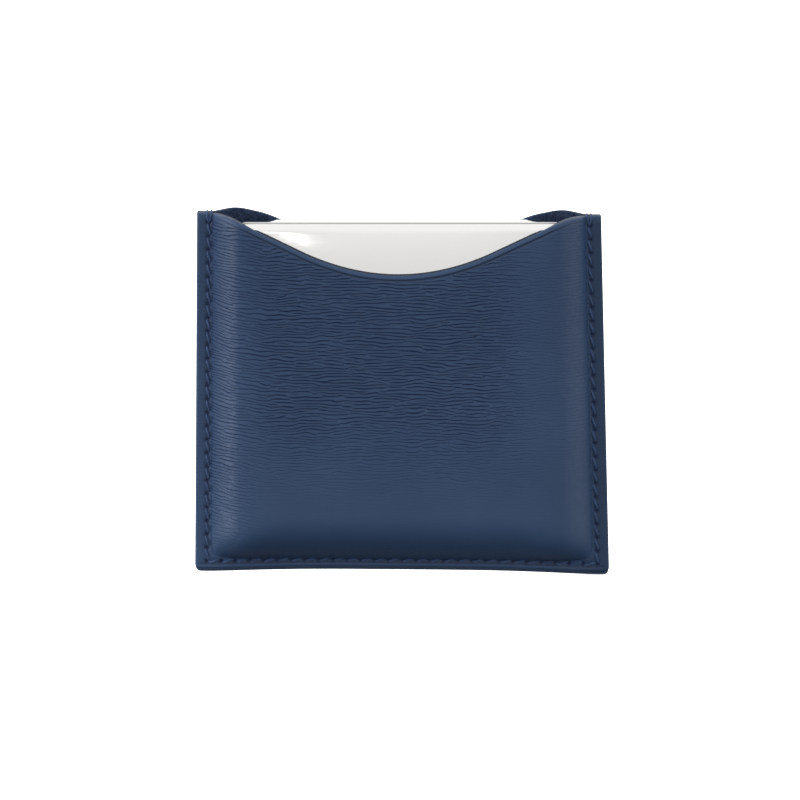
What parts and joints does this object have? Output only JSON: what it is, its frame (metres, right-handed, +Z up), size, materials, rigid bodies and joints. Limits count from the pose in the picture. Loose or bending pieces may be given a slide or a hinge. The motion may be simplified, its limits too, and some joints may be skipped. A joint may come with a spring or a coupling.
{
  "type": "card holder sleeve with slide-out compact case",
  "caption": "Stitched leather sleeve, open at the top with a scooped thumb cut, holding a flat polished metal compact case that slides out.",
  "frame": {"origin": "middle of the foot of the sleeve: the centre of the bounding box in X and Y, at its lowest point in Z", "axes": "+Z up the sleeve towards its open mouth, -Y out of the front panel, +X to the right seen from the front"},
  "size_m": [0.0842, 0.0126, 0.0744],
  "materials": {
    "leather": "navy, fine wavy embossed grain, semi-gloss",
    "suede_lining": "dark navy suede",
    "seam_thread": "waxed blue thread",
    "polished_metal": "bright polished",
    "liner_plastic": "satin",
    "mirror_glass": "silvered glass",
    "pan_metal": "pressed",
    "pressed_powder": "pressed powder",
    "magnet_metal": "plated",
    "pin_steel": "drawn"
  },
  "bodies": {
    "sleeve": {"front_panel": "leather", "back_panel": "leather", "front_lining": "suede_lining", "back_lining": "suede_lining", "front_seam_thread": "seam_thread", "back_seam_thread": "seam_thread"},
    "case": {"base_shell": "polished_metal", "lid_shell": "polished_metal", "tray_insert": "liner_plastic", "mirror_frame": "liner_plastic", "mirror": "mirror_glass", "refill_pan": "pan_metal", "powder_cake": "pressed_powder", "base_magnet": "magnet_metal", "lid_magnet": "magnet_metal", "pan_magnet": "magnet_metal", "hinge_pin_left": "pin_steel", "hinge_pin_right": "pin_steel"}
  },
  "joints": [
    {"name": "case_slide", "type": "slide", "parent": "sleeve", "child": "case", "axis": [0, 0, 1], "range_m": [0, 0.065]}
  ]
}
